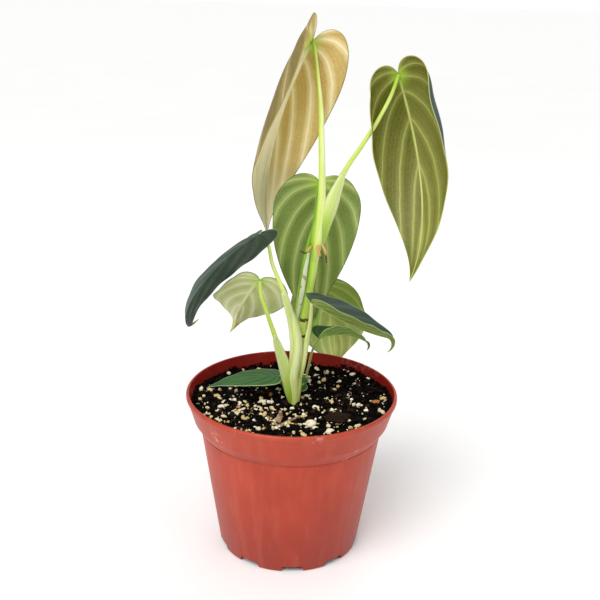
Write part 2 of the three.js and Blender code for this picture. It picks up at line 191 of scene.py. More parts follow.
def floor_finish(place):
    tone = grain(place, 3)
    return {"Base Color": blend(tone, paint("f7f7f6"), paint("fbfbfa")),
            "Roughness": 0.6 + 0.1 * tone}


sheet = bmesh.new()
bmesh.ops.create_grid(sheet, x_segments=1, y_segments=1, size=FLOOR_HALF)
floor_mesh = bpy.data.meshes.new("floor")
sheet.to_mesh(floor_mesh)
sheet.free()
floor = bpy.data.objects.new("floor", floor_mesh)
bpy.context.scene.collection.objects.link(floor)
floor_mesh.materials.append(finish("studio_floor", floor_finish))

# ------------------------------------------------------------------ pot
# One injection-moulded shell of satin terracotta-red plastic: a tapered body, a shoulder, a
# rim band with a rounded lip, and ten wedge-sided drain slots through the corner of its foot.
SLOTS = 10
SLOT_TURN = 4         # the first slot's turn from the front, in degrees
SLOT_HALF_FOOT = 8.4  # half a slot's width at the foot and at its top, in millimetres
SLOT_HALF_TOP = 7.0
SLOT_INNER = 40.6     # how far from the middle a slot's wedge begins and ends
SLOT_OUTER = 57
SLOT_TOP = 4.3
FLOOR_TOP = 3         # the darker inside colour, a painted shade, runs from over the floor to under the lip
LIP_START = 117.5
# Radius and height in millimetres, out from the middle of the foot and back in to the floor.
POT_PROFILE = [(0, 0), (50.6, 0), (51.6, 1), (65.4, 90.8), (64.8, 91.7), (65.9, 92.3),
               (70.5, 99.5), (70.9, 101),
               (75, 114.7), (76, 115.7), (76, 117.7), (75.2, 118.7), (74, 118.7), (73.3, 116.2),
               (69.1, 100.6), (68.8, 99.2), (63.9, 92.6), (63.7, 91.6), (49.9, 2), (0, 2)]


def link(name, mesh, *materials):
    piece = bpy.data.objects.new(name, mesh)
    bpy.context.scene.collection.objects.link(piece)
    for material in materials:
        mesh.materials.append(material)
    return piece


def mesh_of(name, shape, smooth_under=None):
    """The bmesh as a mesh; edges sharper than smooth_under degrees stay crisp."""
    if smooth_under is not None:
        for face in shape.faces:
            face.smooth = True
        for edge in shape.edges:
            edge.smooth = edge.calc_face_angle(0) < math.radians(smooth_under)
    mesh = bpy.data.meshes.new(name)
    shape.to_mesh(mesh)
    shape.free()
    return mesh


def pot_mesh():
    shell = bmesh.new()
    line = [shell.verts.new((r * MM, 0, z * MM)) for r, z in POT_PROFILE]
    for pair in zip(line, line[1:]):
        shell.edges.new(pair)
    bmesh.ops.bevel(shell, geom=line[1:-1], affect="VERTICES", offset=0.25 * MM, segments=2,
                    profile=0.5, material=-1)
    bmesh.ops.spin(shell, geom=shell.verts[:] + shell.edges[:], cent=(0, 0, 0), axis=(0, 0, 1),
                   angle=math.tau, steps=160, use_merge=True)
    bmesh.ops.remove_doubles(shell, verts=shell.verts, dist=1e-6)
    bmesh.ops.recalc_face_normals(shell, faces=shell.faces)
    return mesh_of("pot_shell", shell)


def slot_mesh():
    """The ten wedges that the drain slots are cut with, wider at the foot."""
    wedges = bmesh.new()
    for i in range(SLOTS):
        wedge = bmesh.ops.create_cube(wedges, size=1)["verts"]
        for vert in wedge:
            half = (SLOT_HALF_FOOT if vert.co.z < 0 else SLOT_HALF_TOP) * MM
            vert.co = (math.copysign(half, vert.co.x),
                       (-SLOT_INNER if vert.co.y > 0 else -SLOT_OUTER) * MM,
                       (-1 if vert.co.z < 0 else SLOT_TOP) * MM)
        turn = Matrix.Rotation(math.radians(SLOT_TURN + i * 360 / SLOTS), 4, "Z")
        bmesh.ops.transform(wedges, matrix=turn, verts=wedge)
    bmesh.ops.recalc_face_normals(wedges, faces=wedges.faces)
    return mesh_of("slot_wedges", wedges)


def plastic(pale, deep, worn, chalky):
    """Satin moulded plastic in two close shades, drawn down the wall and scuffed a little, with painted
    shade darkening it towards the foot.
    """
    def sockets(place):
        cloudy = grain(place, 34, 6)
        fine = grain(place, 420, 3)
        up = place.node("SeparateXYZ", {}, {"Vector": place}, 2)
        drawn = grain(place, 150, 4, (1, 1, 0.1))
        scuff = step(grain(place, 130, 6, (1, 1, 0.35)), 0.67, 0.77) * 0.45
        specks = place.node("TexVoronoi", {}, {"Vector": place, "Scale": 160})
        speck = step(specks, 0.12, 0.04) * step(grain(place, 31, 2), 0.46, 0.6)
        body = blend(cloudy, paint(deep), paint(pale))
        # Painted shade: the wall turns darker red towards the foot.
        body = blend(step(up, 0.085, 0.0) * 0.75, body, paint("8a2a1b"))
        body = blend(step(drawn, 0.42, 0.75) * 0.2, body, paint(worn))
        body = blend(scuff, body, paint(worn))
        chalk = step(grain(place, 34, 6, (1, 1, 1.6)), 0.58, 0.66) * step(up, 0.088, 0.094)
        chalk = chalk * step(grain(place, 380, 4), 0.46, 0.62)
        body = blend(chalk * chalky, body, paint("e3b4a6"))
        body = blend(speck * 0.6, body, paint("6c2418"))
        return {"Base Color": body, "Roughness": 0.36 + 0.14 * cloudy + 0.1 * scuff + 0.2 * chalk,
                "Normal": bump(fine * 0.4 + drawn * 0.3 + scuff, 0.25, 0.0002)}
    return sockets


pot_outside = finish("pot_plastic", plastic("bb452b", "932a17", "c4644c", 0.5), Specular_IOR_Level=0.35)
# The inside takes a darker copy of the same plastic: painted shade on the inner wall.
pot_inside_painted_shade = finish("pot_plastic_inside_painted_shade", plastic("8f190d", "7a1209", "99281a", 0.1),
                    Specular_IOR_Level=0.15)
pot = link("nursery_pot", pot_mesh(), pot_outside)
wedges = link("slot_wedges", slot_mesh())
slotting = pot.modifiers.new("drain_slots", "BOOLEAN")
slotting.object = wedges
slotting.solver = "EXACT"
bpy.context.view_layer.update()
slotted = bmesh.new()
slotted.from_mesh(pot.evaluated_get(bpy.context.evaluated_depsgraph_get()).data)
pot.modifiers.clear()
bpy.data.objects.remove(wedges)
# Faces that look inwards between the floor and the lip take the darker copy, the painted shade.
for face in slotted.faces:
    centre = face.calc_center_median()
    inward = face.normal.dot(Vector((centre.x, centre.y, 0)).normalized()) < -0.6
    face.material_index = int(inward and FLOOR_TOP * MM < centre.z < LIP_START * MM)
pot.data = mesh_of("nursery_pot", slotted, 14)
pot.data.materials.append(pot_outside)
pot.data.materials.append(pot_inside_painted_shade)
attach(pot, "root")
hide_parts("pot")

# ------------------------------------------------------------------ potting mix
# Damp, near-black peat and bark, filled to a thumb's breadth under the lip and left crumbly on
# top. A solid bed takes the pot's inside shape, and loose crumbs of mix lie all over it.
MIX_EDGE = 70.4       # radius of the bed where it lies lowest, in millimetres
MIX_LEVEL = 106.5     # height at the middle; it climbs the wall most at the left and right
SIDE_RISE = 6
END_RISE = 2.5
TILT = 0.9
WALL_FLARE = 0.27     # how fast the pot's inside opens out as it climbs
BED_SIDE = [(68.5, 99.8), (63.4, 92), (49.6, 2.3)]    # radius and height, from its top down
LOOSE_CRUMBS = 3600
WALL_CRUMBS = 900
chance = random.Random(11)


def mix_height(x, y):
    """Height of the bed's top over a place, all in millimetres."""
    calm = 1 - min(math.hypot(x, y) / MIX_EDGE, 1)
    waves = math.sin(x / 5.1 + y / 9) * math.cos(y / 6.3 - x / 13)
    lumps = noise.noise((x * 0.16, y * 0.16, 3)) * 1.1 + noise.noise((x * 0.5, y * 0.5, 7)) * 0.9
    dish = SIDE_RISE * (x / MIX_EDGE) ** 2 + END_RISE * (y / MIX_EDGE) ** 2 + TILT * x / MIX_EDGE
    return MIX_LEVEL + dish + 1.1 * waves * calm + lumps * (0.5 + min(calm * 3, 0.5)) - 0.6


def wall_reach(height):
    """Radius of the mix against the wall at a height."""
    return MIX_EDGE + (height - MIX_LEVEL) * WALL_FLARE


def bed_mesh():
    bed = bmesh.new()
    bmesh.ops.create_grid(bed, x_segments=130, y_segments=130, size=1)
    for vert in bed.verts:
        x, y, _ = vert.co
        x, y = (MIX_EDGE * x * math.sqrt(1 - y * y / 2), MIX_EDGE * y * math.sqrt(1 - x * x / 2))
        rim = MIX_EDGE / max(math.hypot(x, y), 0.1)
        spread = wall_reach(mix_height(x * rim, y * rim)) / MIX_EDGE
        vert.co = Vector((x * spread, y * spread, mix_height(x, y))) * MM
    for radius, height in BED_SIDE:
        rim = [edge for edge in bed.edges if edge.is_boundary]
        lower = bmesh.ops.extrude_edge_only(bed, edges=rim)["geom"]
        for vert in lower:
            if isinstance(vert, bmesh.types.BMVert):
                out = vert.co.to_2d().normalized() * radius * MM
                vert.co = (*out, height * MM)
    bmesh.ops.holes_fill(bed, edges=[edge for edge in bed.edges if edge.is_boundary])
    bmesh.ops.recalc_face_normals(bed, faces=bed.faces)
    return mesh_of("potting_mix_bed", bed, 60)


def mix_finish(place):
    damp = grain(place, 90, 4)
    crumbs = grain(place, 900, 5)
    body = blend(damp, paint("040302"), paint("0d0906"))
    body = blend(step(crumbs, 0.62, 0.8) * 0.4, body, paint("1c130c"))
    return {"Base Color": body, "Roughness": 0.75 + 0.2 * crumbs,
            "Normal": bump(crumbs + damp * 0.5, 0.8, 0.0012)}


def crumb_shape(wide, seed):
    """A weathered crumb 2 units across: a cube cut up once, rounded and knocked about."""
    crumb = bmesh.new()
    bmesh.ops.create_cube(crumb, size=2)
    bmesh.ops.subdivide_edges(crumb, edges=crumb.edges, cuts=1, use_grid_fill=True)
    for vert in crumb.verts:
        knock = 1 + 0.6 * noise.noise(vert.co * 0.9 + Vector((seed * 5.3, 0, 0)))
        vert.co = vert.co.normalized() * knock
        vert.co.x *= wide
    return mesh_of("crumb", crumb, 70)


def scatter(name, places, shapes):
    """One mesh of many crumbs: places gives (x, y, z, size, flatness) in millimetres."""
    heap = bmesh.new()
    tone = heap.verts.layers.float.new("tone")
    for x, y, z, size, flat in places:
        crumb = chance.choice(shapes).copy()
        spin = Matrix.Rotation(chance.uniform(0, math.tau), 4, "Z")
        tip = Matrix.Rotation(chance.uniform(-0.7, 0.7), 4, "X")
        crumb.transform(Matrix.Translation((x * MM, y * MM, z * MM)) @ spin @ tip
                        @ Matrix.Diagonal((size * MM, size * MM, size * flat * MM, 1)))
        first = len(heap.verts)
        heap.from_mesh(crumb)
        bpy.data.meshes.remove(crumb)
        heap.verts.ensure_lookup_table()
        shade = chance.random()
        for i in range(first, len(heap.verts)):
            heap.verts[i][tone] = shade
    mesh = bpy.data.meshes.new(name)
    heap.to_mesh(mesh)
    heap.free()
    return mesh


def anywhere(reach=69):
    """A random place on the mix."""
    radius, turn = reach * math.sqrt(chance.random()), chance.uniform(0, math.tau)
    return radius * math.cos(turn), radius * math.sin(turn)


def crumb_finish(place):
    tone = place.node("Attribute", {"attribute_name": "tone"}, {}, 2)
    rough = grain(place, 1300, 4)
    body = blend(tone, paint("040302"), paint("100b07"))
    body = blend(step(tone, 0.93, 0.99), body, paint("3a2716"))
    body = blend(step(rough, 0.55, 0.8) * 0.3, body, paint("1c120b"))
    return {"Base Color": body, "Roughness": 0.7 + 0.25 * rough,
            "Normal": bump(rough, 0.7, 0.0006)}


bed = link("potting_mix_bed", bed_mesh(), finish("damp_mix", mix_finish, Specular_IOR_Level=0.05))
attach(bed, "root")
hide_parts("potting_mix")

crumb_shapes = [crumb_shape(wide, seed) for seed, wide in enumerate((1, 1.4, 0.8, 1.9, 1.2, 2.6))]
crumb_places = []
for i in range(LOOSE_CRUMBS):
    x, y = anywhere()
    size = 0.5 + 1.3 * chance.random() ** 2.2
    size = min(size, 0.5 + (70 - math.hypot(x, y)) * 0.6)
    crumb_places.append((x, y, mix_height(x, y) + 0.35 * size, size, chance.uniform(0.55, 0.95)))
# Crumbs that have stuck to the wall just over the bed, in drifts.
for i in range(WALL_CRUMBS):
    turn = chance.uniform(0, math.tau)
    x, y = MIX_EDGE * math.cos(turn), MIX_EDGE * math.sin(turn)
    size = 0.35 + 0.7 * chance.random() ** 2
    drift = max(noise.noise((math.cos(turn) * 4, math.sin(turn) * 4, 5)) + 0.45, 0.1)
    height = mix_height(x, y) + 4.5 * drift * chance.random() ** 1.8
    out = (wall_reach(height) - size * 0.8) / MIX_EDGE
    crumb_places.append((x * out, y * out, height, size, chance.uniform(0.6, 0.95)))
crumbs = link("mix_crumbs", scatter("mix_crumbs", crumb_places, crumb_shapes),
              finish("peat_crumbs", crumb_finish, Specular_IOR_Level=0.07))
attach(crumbs, "root")

# ------------------------------------------------------------------ perlite
# Chalky cream grains of expanded perlite, stained by the mix, thickest at the front left. Four
# of them are lumps of a few millimetres. They lie loose among the crumbs.
PERLITE_LUMPS = 4
PERLITE_GRAINS = 720


def perlite_finish(place):
    tone = place.node("Attribute", {"attribute_name": "tone"}, {}, 2)
    pores = grain(place, 1500, 4)
    stain = grain(place, 260, 3)
    body = blend(tone, paint("d8b868"), paint("fbf6e2"))
    body = blend(step(tone, 0.05, 0.02), body, paint("b8742f"))
    body = blend(step(stain, 0.54, 0.72) * 0.65, body, paint("a87a2c"))
    return {"Base Color": body, "Roughness": 0.8 + 0.15 * pores,
            "Normal": bump(pores, 0.7, 0.0005)}


def lump_mesh(name, low, high):
    lump = bmesh.new()
    bmesh.ops.create_icosphere(lump, subdivisions=3, radius=1)
    centre, half = (low + high) / 2, (high - low) / 2
    for vert in lump.verts:
        rough = 1.02 + 0.16 * noise.noise(vert.co * 1.3 + centre * 900)
        rough += 0.1 * noise.noise(vert.co * 3.4 + centre * 500)
        vert.co = centre + Vector(a * b for a, b in zip(vert.co * rough, half))
    return mesh_of(name, lump, 60)


def near_front_left(x, y):
    """How thick the perlite lies at a place, from 0 to 1."""
    clear = 0.16 + 0.84 * math.exp(-((x + 32) / 34) ** 2 - ((y + 26) / 26) ** 2)
    return clear * (0.06 + 2.2 * max(noise.noise((x * 0.13, y * 0.13, 1)) + 0.12, 0))


perlite_places = []
while len(perlite_places) < PERLITE_GRAINS:
    x, y = anywhere()
    if chance.random() < near_front_left(x, y):
        size = 0.3 + 1.5 * chance.random() ** 2.4
        perlite_places.append((x, y, mix_height(x, y) + 0.7 + 0.35 * size, size,
                               chance.uniform(0.6, 1)))
grains = link("perlite_grains", scatter("perlite_grains", perlite_places, crumb_shapes[:4]),
              finish("perlite_grain", perlite_finish))
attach(grains, "root")
for name in [f"perlite_{i + 1}" for i in range(PERLITE_LUMPS)]:
    piece = link(f"{name}_lump", lump_mesh(name, *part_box(name)), grains.data.materials[0])
    piece.data.attributes.new("tone", "FLOAT", "POINT").data.foreach_set(
        "value", [0.75] * len(piece.data.vertices))
    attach(piece, "root")
    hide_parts(name)

# ------------------------------------------------------------------ bark
# A fibrous lump and a sliver of conifer bark, dark and damp, that lie on the mix, with small
# chips of the same bark round them.
BARK_CHIPS = 90


def bark_mesh(name, low, high, turn):
    chip = bmesh.new()
    bmesh.ops.create_icosphere(chip, subdivisions=4, radius=1)
    centre, half = (low + high) / 2, (high - low) / 2
    for vert in chip.verts:
        along = Matrix.Rotation(turn, 3, "Z") @ vert.co
        layers = noise.noise((along.x * 1.2, along.y * 6, along.z * 9)) * 0.28
        blocks = noise.noise(along * 2.1 + centre * 700) * 0.3
        vert.co = centre + Vector(a * b for a, b in zip(vert.co * (1 + layers + blocks), half))
    return mesh_of(name, chip, 50)


def bark_finish(place):
    fibres = grain(place, 240, 5, (1, 3.2, 3))
    fleck = grain(place, 900, 3)
    body = blend(fibres, paint("0f0a06"), paint("352114"))
    body = blend(step(fleck, 0.62, 0.8) * 0.6, body, paint("664427"))
    return {"Base Color": body, "Roughness": 0.75 + 0.2 * fibres,
            "Normal": bump(fibres + fleck * 0.4, 0.9, 0.0012)}


def sliver_finish(place):
    fibres = grain(place, 300, 4, (1, 4, 4))
    body = blend(fibres, paint("8c4f22"), paint("c98a4a"))
    return {"Base Color": body, "Roughness": 0.7 + 0.2 * fibres,
            "Normal": bump(fibres, 0.7, 0.0006)}


bark = finish("damp_bark", bark_finish, Specular_IOR_Level=0.1)
for name, turn, material in [("bark_1", -0.44, bark),
                             ("bark_2", -0.26, finish("orange_bark", sliver_finish))]:
    piece = link(f"{name}_piece", bark_mesh(name, *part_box(name), turn), material)
    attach(piece, "root")
    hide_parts(name)
chip_places = []
for i in range(BARK_CHIPS):
    x, y = anywhere(66)
    chip_places.append((x, y, mix_height(x, y) + 1, chance.uniform(1, 2.1),
                        chance.uniform(0.25, 0.5)))
chips = link("bark_chips", scatter("bark_chips", chip_places, crumb_shapes[3:]), bark)
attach(chips, "root")

# ------------------------------------------------------------------ stem and leaf stalks
# The live stem stands in the mix and carries ten leaf stalks, each with a smooth, juicy skin of
# fine lengthwise fibres. The large ones start inside the stem; bright green runs into pale
# yellow-green.
# Each row is x, y, z and half width in millimetres, then the paleness of the left and right. The paleness
# along a stalk is its own colour; the right side, mostly paler than the left, is a painted highlight.
STALKS = {
    "stem": (1, [
        (2, 3, 84, 3, .8, .8), (2, 3, 104, 3.4, .8, .75), (3, 2.4, 116, 3.6, .75, .75),
        (4, 3, 126, 3.3, .7, .75), (5.6, 3, 150, 3.2, .6, .8), (7.4, 3, 172, 3, .3, .75),
        (10, 3, 192, 3, .15, .7), (14, 3, 222, 3.3, .15, .7)]),
    "petiole_upper_left": (1, [
        (13.2, 2.6, 215, 2.6, .3, .9), (14.2, 1, 223, 3.3, .3, .9), (15.5, 0, 235, 3.1, .5, 1),
        (16.8, -1, 255, 2.8, .5, 1), (16.8, -3, 273, 2.4, .5, 1), (15.6, -6, 300, 2, .5, 1),
        (14.4, -4, 322, 1.5, .45, .95), (12, -1, 340, 1.2, .4, .9), (10, 3.4, 353.4, 1.1, .4, .8),
        (8.4, 6, 359.6, 1.1, .3, .5), (7.4, 7.2, 360.3, .9, .2, .3)]),
    "petiole_upper_right": (.75, [
        (13.6, 3, 215, 1.4, .6, .9), (15, 3, 224, 2.4, .6, .9), (18.5, 2, 241, 3.1, .6, .9),
        (23, 0, 255, 3.1, .5, .8), (28, -2.5, 271, 2.3, .5, .8), (33, -5, 282, 1.7, .5, .7),
        (41, -8, 295.5, 1.5, .5, .7), (50, -9, 311, 1.4, .5, .75), (59, -3, 327.5, 1.3, .5, .75),
        (64.8, 7, 341.2, 1.2, .4, .55)]),
    "petiole_left": (1, [
        (2, 2.8, 102, 3, .7, .8), (2, .8, 115, 3.1, .7, .85), (1.2, -1.6, 129, 3.1, .8, .95),
        (2.3, -3, 143, 3.3, .85, .95), (2.7, -4.4, 155, 3.1, .8, .95), (.5, -6, 170.5, 2.6, .8, .9),
        (-4, -8, 187.5, 1.9, .75, .85), (-10.4, -8, 203, 1.5, .6, .8),
        (-15.5, -4.5, 214.5, 1.3, .6, .8), (-18, -1.5, 225, 1.2, .6, .8),
        (-20.3, -6.5, 230.5, 1.2, .5, .7), (-21.4, -14.6, 235.2, 1.1, .5, .7),
        (-23.1, -20.2, 238, 1, .5, .7), (-24.5, -24.6, 239.3, .8, .5, .7)]),
    "petiole_lower_left": (.8, [
        (2, 2.4, 102, 1.6, .35, .8), (-.5, 1, 113, 2.8, .35, .8), (-3, 0, 126, 2.8, .4, .85),
        (-6, -1, 138, 2.6, .4, .8), (-10.5, -3, 154, 2, .35, .75), (-15, -5, 168, 1.6, .4, .7),
        (-19.2, -7, 181.5, 1.4, .4, .7), (-23, -6.4, 192.4, 1.3, .4, .7),
        (-24, -4, 201.6, 1.2, .5, .7)]),
    "petiole_middle": (1, [
        (6, 4.4, 156, 1.2, .5, .5), (4, 8, 166, 1.8, .4, .4), (3.8, 9, 184, 2.1, .3, .3),
        (6.5, 10, 206, 2, .15, .2), (9, 11, 224, 1.6, .1, .15), (12.6, 12.5, 238, 1.3, .1, .15),
        (14.2, 13.5, 252, 1.2, .05, .15), (15.4, 14.9, 267, .9, .05, .2)]),
    "petiole_right": (1, [
        (5, 2, 124, 1.2, .65, .8), (7, 0, 135, 1.9, .65, .85), (9.3, -2, 154, 2, .75, .9),
        (11, -7, 167, 1.6, .8, .95), (12, -15.4, 182.4, 1.2, .8, .95),
        (12, -22.4, 192.2, 1, .7, .8)]),
    "petiole_back_right": (1, [
        (4.6, 4.6, 126, 1.1, .4, .4), (6.1, 9, 134, 1.7, .2, .3), (8.8, 15, 143.6, 1.8, .15, .3),
        (11.6, 23, 150.2, 1.6, .1, .3), (15.1, 32, 157.2, 1.3, .1, .2),
        (18, 40, 166.2, 1.2, .1, .2), (19.2, 46.6, 174.6, 1.1, .1, .2), (19, 53.4, 182, 1, .1, .2)]),
    "petiole_small_right": (1, [
        (10, 43, 103, 1, .7, .9), (10.6, 41, 112, 1, .7, .9), (12, 37, 121, 1, .7, .9),
        (13.2, 31, 131, .9, .6, .9), (15, 22, 142.5, .9, .5, .8), (17.6, 12, 151.8, .9, .5, .8),
        (18.8, 5.2, 156.6, .8, .4, .6)]),
    "petiole_small_left": (1, [
        (-3.6, 20, 101, 1.1, .1, .3), (-4.6, 19, 107, 1, .1, .3), (-6.2, 15.5, 114, .9, .1, .2),
        (-8.4, 11, 121.6, .9, .1, .2), (-9.8, 6.4, 126.3, .8, .05, .1)]),
    "petiole_juvenile": (1, [
        (2.6, 9, 103, .9, .1, .2), (3.1, 10.5, 111.5, .8, .1, .2), (6, 16, 113.6, .8, .1, .2),
        (9, 20.7, 114.3, .7, .1, .2)]),
}
# Heights of the stem's leaf scars, and how dark each is.
SCARS = [(104.5, .5), (127, .6), (143, 1), (159.5, 1.3), (172, 1.6), (223, .45)]


def through(rows, places):
    """A smooth curve through the rows, read at each place from 0 to 1 along its length."""
    rows = np.array(rows, float)
    gaps = np.linalg.norm(np.diff(rows[:, :3], axis=0), axis=1) ** 0.5
    knots = np.concatenate([[0], np.cumsum(gaps)])
    slopes = np.diff(rows, axis=0) / gaps[:, None]
    bends = np.vstack([slopes[:1], slopes[:-1] + slopes[1:]
                       - (rows[2:] - rows[:-2]) / (gaps[:-1] + gaps[1:])[:, None], slopes[-1:]])

    def read(at):
        i = np.clip(np.searchsorted(knots, at, side="right") - 1, 0, len(gaps) - 1)
        t, gap = ((at - knots[i]) / gaps[i])[:, None], gaps[i][:, None]
        return ((2 * t ** 3 - 3 * t ** 2 + 1) * rows[i] + (t ** 3 - 2 * t ** 2 + t) * gap * bends[i]
                + (3 * t ** 2 - 2 * t ** 3) * rows[i + 1] + (t ** 3 - t ** 2) * gap * bends[i + 1])

    fine = np.linspace(0, knots[-1], 400)
    steps = np.linalg.norm(np.diff(read(fine)[:, :3], axis=0), axis=1)
    travelled = np.concatenate([[0], np.cumsum(steps)])
    return read(np.interp(np.asarray(places) * travelled[-1], travelled, fine)), travelled[-1]


def draped(name, columns, rows, lay):
    """A grid laid in space: lay(u, v) takes its places from 0 to 1 and gives the points, the
    values that the finish reads, and the flat pattern, in millimetres."""
    grid = bmesh.new()
    grid.loops.layers.uv.new("flat")
    bmesh.ops.create_grid(grid, x_segments=columns, y_segments=rows, size=1, calc_uvs=True)
    mesh = bpy.data.meshes.new(name)
    grid.to_mesh(mesh)
    grid.free()
    corners = np.zeros(len(mesh.vertices) * 3)
    mesh.vertices.foreach_get("co", corners)
    u, v = (corners.reshape(-1, 3)[:, :2].T + 1) / 2
    points, values, flat = lay(u, v)
    mesh.vertices.foreach_set("co", (points * MM).ravel())
    for title, numbers in values.items():
        mesh.attributes.new(title, "FLOAT", "POINT").data.foreach_set("value", numbers)
    of_loop = np.zeros(len(mesh.loops), int)
    mesh.loops.foreach_get("vertex_index", of_loop)
    mesh.uv_layers["flat"].uv.foreach_set("vector", (flat[of_loop] / 100).ravel())
    mesh.update()
    return mesh


def stalk_frames(rows, v):
    """Points of a stalk's curve with the sideways and the front-to-back direction at each."""
    row, length = through(rows, v)
    ahead, _ = through(rows, np.clip(v + 0.004, 0, 1))
    behind, _ = through(rows, np.clip(v - 0.004, 0, 1))
    tangent = ahead[:, :3] - behind[:, :3]
    tangent /= np.linalg.norm(tangent, axis=1)[:, None]
    depth = np.array([0, 1, 0]) - tangent * tangent[:, 1:2]
    depth /= np.linalg.norm(depth, axis=1)[:, None]
    return row, length, np.cross(depth, tangent), depth


def stalk_mesh(name, flat, rows, around=20, ribs=9):
    def lay(u, v):
        row, length, side, depth = stalk_frames(rows, v)
        turn = u * math.tau
        swell = 1 + 0.012 * np.cos(turn * ribs)
        half = (row[:, 3] * swell)[:, None]
        points = row[:, :3] + side * half * np.cos(turn)[:, None]
        points = points + depth * half * flat * np.sin(turn)[:, None]
        # Painted highlight: the right side of a stalk is mostly paler than its left.
        rightness = (1 + np.cos(turn)) / 2
        pale = row[:, 4] * (1 - rightness) + row[:, 5] * rightness
        scar = sum(dark * np.exp(-((points[:, 2] - z) / 1.6) ** 2) for z, dark in SCARS)
        values = {"pale": pale, "scar": scar if name == "stem" else scar * 0}
        return points, values, np.stack([turn * row[:, 3], v * length], 1)

    mesh = draped(name, around, max(int(through(rows, [0])[1] / 1.5), 12), lay)
    tube = bmesh.new()
    tube.from_mesh(mesh)
    bmesh.ops.remove_doubles(tube, verts=tube.verts, dist=2e-6)
    bmesh.ops.holes_fill(tube, edges=[edge for edge in tube.edges if edge.is_boundary])
    bmesh.ops.recalc_face_normals(tube, faces=tube.faces)
    bpy.data.meshes.remove(mesh)
    return mesh_of(name, tube, 60)


def read(place, name):
    """A value stored on the piece's own vertices."""
    return place.node("Attribute", {"attribute_name": name}, {}, 2)


def flat_of(place):
    """The piece's own flat pattern, in tenths of a metre."""
    return place.node("UVMap", {"uv_map": "flat"}, {})


def stalk_finish(place):
    pattern = flat_of(place)
    streaks = grain(pattern, 55, 3, (1, 0.05, 1))
    cloudy = grain(place, 60, 3)
    marks = grain(place, 420, 3)
    pale = read(place, "pale") + (streaks - 0.5) * 0.55 + (cloudy - 0.5) * 0.3
    body = pale.node("ValToRGB", {"stops": [
        (0, paint("5c9a18")), (0.22, paint("8cbc22")), (0.5, paint("b4cf48")),
        (0.75, paint("d2de7c")), (1, paint("e6ecb6"))]}, {"Fac": pale})
    scar = step(read(place, "scar") * (1.9 * grain(place, 190, 2) - 0.1), 0.62, 0.82)
    body = blend(scar, body, paint("55301a"))
    freckle = step(marks, 0.7, 0.78) * 0.35
    body = blend(freckle, body, paint("9a8a3c"))
    return {"Base Color": body, "Roughness": 0.34 + 0.16 * streaks + 0.2 * scar,
            "Normal": bump(streaks + marks * 0.3, 0.25, 0.0003)}


stalk_skin = finish("stalk_skin", stalk_finish, Subsurface_Weight=0.15, Subsurface_Scale=0.004,
                    Subsurface_Radius=(0.7, 1, 0.3))
for name, (flat, rows) in STALKS.items():
    piece = link(name.replace("petiole", "leafstalk") if name != "stem" else "green_stem",
                 stalk_mesh(name, flat, rows), stalk_skin)
    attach(piece, "root")
    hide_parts(name)

# ------------------------------------------------------------------ sheaths
# The feet of three leaf stalks open into thin, pale sheaths that wrap the next growth and end in
# a free point. A sheath grows from the stalk's edges, and its own foot runs into the stem.
# Each row is x, y, z, half width, left wrap and right wrap in degrees from the front.
SHEATH_THICKNESS = 0.3
SHEATHS = {
    "sheath_upper_right": ("petiole_upper_right", [
        (15, 2.4, 226, 4.2, 110, 110), (16.6, 2, 234, 5, 105, 105), (19, 1, 243, 5.2, 100, 105),
        (23, -.2, 254.5, 4.8, 95, 100), (27, -2, 266.5, 3.2, 92, 92), (30, -4, 274.5, 2.2, 75, 60),
        (32.4, -6.5, 279.5, 1.9, 40, 5)]),
    "sheath_left": ("petiole_left", [
        (2.1, 2.6, 104, 2.4, 100, 100), (1.9, .8, 116, 2.8, 105, 105),
        (1.3, -1.4, 129, 3.2, 110, 110), (2.2, -2.6, 142, 4.1, 105, 110),
        (2.4, -4, 155, 4.1, 100, 105), (.4, -5.6, 169, 3.5, 95, 98), (-2.6, -7.6, 180, 2.7, 92, 90),
        (-5.4, -9.8, 190, 2.1, 70, 50), (-7.4, -11.8, 196.5, 1.8, 45, 5)]),
    "sheath_lower_left": ("petiole_lower_left", [
        (1.8, 2.2, 103, 1.8, 110, 110), (-.6, 1, 114, 3.5, 100, 110), (-3, .2, 126, 4, 95, 105),
        (-5.8, -1, 138, 3.9, 95, 100), (-9.2, -2.4, 149, 3, 90, 95), (-12, -4, 158, 2.2, 60, 80),
        (-13.4, -5.4, 163, 1.8, 5, 50)]),
}


def sheath_mesh(name, rows):
    def lay(u, v):
        row, length, side, depth = stalk_frames(rows, v)
        wrap = np.radians(row[:, 4] * (1 - u) * -1 + row[:, 5] * u)
        flare = 1 + 0.1 * np.abs(2 * u - 1) ** 6
        half = (row[:, 3] * flare)[:, None]
        points = row[:, :3] + side * half * np.sin(wrap)[:, None]
        points = points - depth * half * 0.72 * np.cos(wrap)[:, None]
        values = {"across": u, "along": v}
        return points, values, np.stack([wrap * row[:, 3], v * length], 1)

    return draped(name, 22, 60, lay)


def sheath_finish(place):
    pattern = flat_of(place)
    streaks = grain(pattern, 70, 3, (1, 0.04, 1))
    across, along = read(place, "across"), read(place, "along")
    # Painted shade: a darker green line down the middle of each sheath.
    centre = step((across - 0.5).maths("ABSOLUTE"), 0.3, 0.1)
    foot = step(along, 0.6, 0.02) * 0.7
    pale = 0.85 + (streaks - 0.5) * 0.5 - centre * 0.3 - foot
    body = pale.node("ValToRGB", {"stops": [
        (0, paint("92b930")), (0.35, paint("b0cd55")), (0.7, paint("cadb88")),
        (1, paint("e0e6bc"))]}, {"Fac": pale})
    # Painted shade: darker lines along the sheath's edges.
    edge = step((across - 0.5).maths("ABSOLUTE"), 0.46, 0.5) * 0.4
    body = blend(edge, body, paint("b9c98a"))
    dry = step(grain(place, 300, 3) * along, 0.5, 0.62) * 0.35
    body = blend(dry, body, paint("b9a372"))
    return {"Base Color": body, "Roughness": 0.36 + 0.2 * streaks,
            "Normal": bump(streaks, 0.35, 0.0003)}


